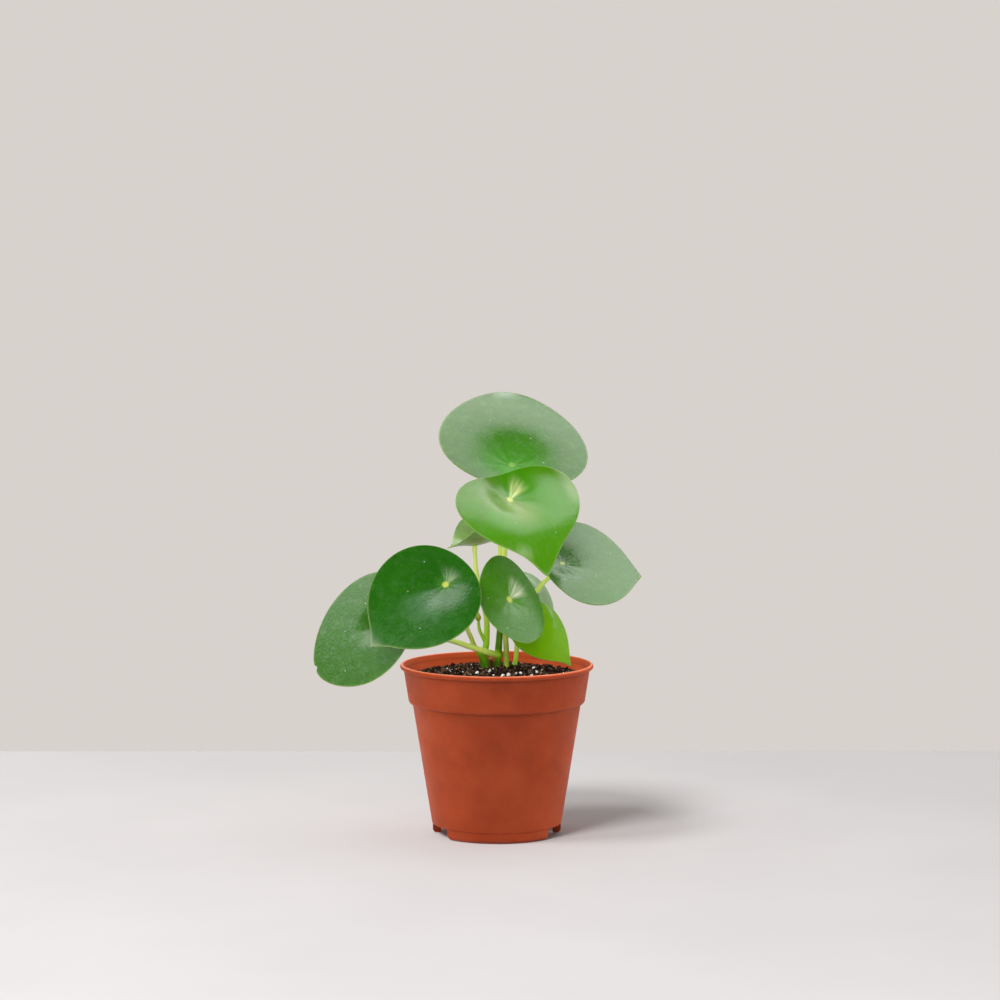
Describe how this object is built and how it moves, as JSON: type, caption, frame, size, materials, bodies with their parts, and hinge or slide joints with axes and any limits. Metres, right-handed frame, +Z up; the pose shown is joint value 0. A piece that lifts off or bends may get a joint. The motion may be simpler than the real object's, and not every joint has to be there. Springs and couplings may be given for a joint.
{
  "type": "potted peperomia",
  "caption": "Young peperomia with round, fleshy, shield-shaped leaves on long stalks, growing in soil in a tapered plastic nursery pot that stands by itself.",
  "frame": {"origin": "middle of the pot's underside, on the plane that the pot stands on", "axes": "+Z up; -Y towards the side that the picture shows; +X to the right in the picture"},
  "size_m": [0.2045, 0.15, 0.271],
  "materials": {
    "pot": "satin terracotta-coloured moulded polypropylene",
    "soil": "crumbly dark potting soil with bark and perlite",
    "stem": "smooth fleshy green plant stem",
    "stalk": "smooth fleshy pale green leaf stalk",
    "bud": "olive-green young leaf",
    "leaf_top": "thick, softly glossy leaf",
    "leaf_centre": "thick, softly glossy leaf",
    "leaf_left_front": "thick, softly glossy leaf",
    "leaf_left_back": "thick, softly glossy leaf",
    "leaf_middle": "thick, softly glossy leaf",
    "leaf_right": "thick, softly glossy leaf",
    "leaf_low_right": "thick, softly glossy leaf",
    "leaf_back_left": "thick, softly glossy leaf",
    "leaf_back_right": "thick, softly glossy leaf"
  },
  "bodies": {
    "root": {"pot": "pot", "soil": "soil", "stem_left": "stem", "stem_main": "stem", "stalk_middle": "stalk", "stalk_low_right": "stalk", "bud": "bud", "leaf_top": "leaf_top", "leaf_centre": "leaf_centre", "leaf_left_front": "leaf_left_front", "leaf_left_back": "leaf_left_back", "leaf_middle": "leaf_middle", "leaf_right": "leaf_right", "leaf_low_right": "leaf_low_right", "leaf_back_left": "leaf_back_left", "leaf_back_right": "leaf_back_right"}
  },
  "joints": []
}
